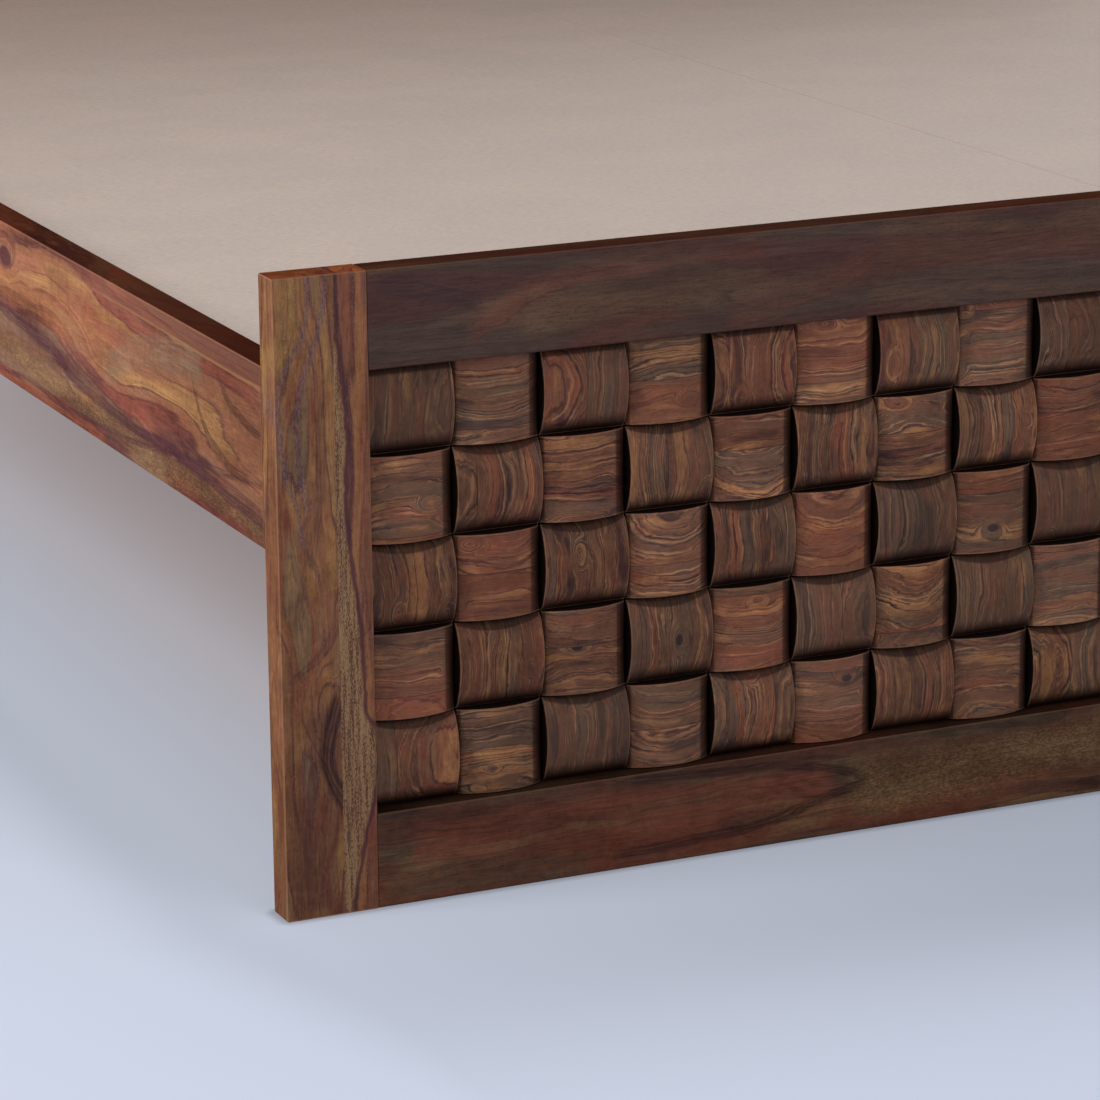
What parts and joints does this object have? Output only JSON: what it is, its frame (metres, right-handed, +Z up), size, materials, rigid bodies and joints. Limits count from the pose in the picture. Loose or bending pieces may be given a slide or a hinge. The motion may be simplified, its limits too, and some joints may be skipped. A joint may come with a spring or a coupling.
{
  "type": "bed frame",
  "caption": "Low platform bed frame in dark hardwood, with basket-weave block panels in its footboard and headboard and a two-sheet plywood deck.",
  "frame": {"origin": "on the floor, under the middle of the bed", "axes": "+Z up, +Y from the footboard towards the headboard, +X to the right for someone who looks at the footboard"},
  "size_m": [1.88, 2.032, 1],
  "materials": {
    "post_wood": "oiled dark rosewood-like hardwood, satin",
    "rail_wood": "very dark oiled hardwood with faint reddish clouds, satin",
    "side_rail_wood": "oiled hardwood, orange-brown with purple-brown streaks, satin",
    "block_wood": "arched hardwood blocks, each with its own figure, satin",
    "deck_ply": "plain sanded board with fine flecks, matt",
    "backing_ply": "bare plywood, matt",
    "frame_timber": "bare planed timber, matt",
    "plate_steel": "zinc-plated sheet steel",
    "screw_steel": "zinc-plated screws"
  },
  "bodies": {
    "root": {"foot_left_outer_stave": "post_wood", "foot_left_inner_stave": "post_wood", "foot_right_outer_stave": "post_wood", "foot_right_inner_stave": "post_wood", "foot_top_rail": "rail_wood", "foot_bottom_rail": "rail_wood", "foot_backing_board": "backing_ply", "foot_upright_blocks": "block_wood", "foot_crosswise_blocks": "block_wood", "head_left_outer_stave": "post_wood", "head_left_inner_stave": "post_wood", "head_right_outer_stave": "post_wood", "head_right_inner_stave": "post_wood", "head_top_rail": "rail_wood", "head_bottom_rail": "rail_wood", "head_backing_board": "backing_ply", "head_upright_blocks": "block_wood", "head_crosswise_blocks": "block_wood", "left_side_rail": "side_rail_wood", "left_ledger": "frame_timber", "left_deck_sheet": "deck_ply", "right_side_rail": "side_rail_wood", "right_ledger": "frame_timber", "right_deck_sheet": "deck_ply", "centre_beam": "frame_timber", "slat_1": "frame_timber", "slat_2": "frame_timber", "slat_3": "frame_timber", "slat_4": "frame_timber", "slat_5": "frame_timber", "slat_6": "frame_timber", "slat_7": "frame_timber", "slat_8": "frame_timber", "centre_leg_1": "frame_timber", "centre_leg_2": "frame_timber", "centre_leg_3": "frame_timber", "hook_plates": "plate_steel", "slot_plates": "plate_steel", "hook_plate_screws": "screw_steel", "slot_plate_screws": "screw_steel", "ledger_screws": "screw_steel", "slat_screws": "screw_steel", "backing_screws": "screw_steel"}
  },
  "joints": []
}
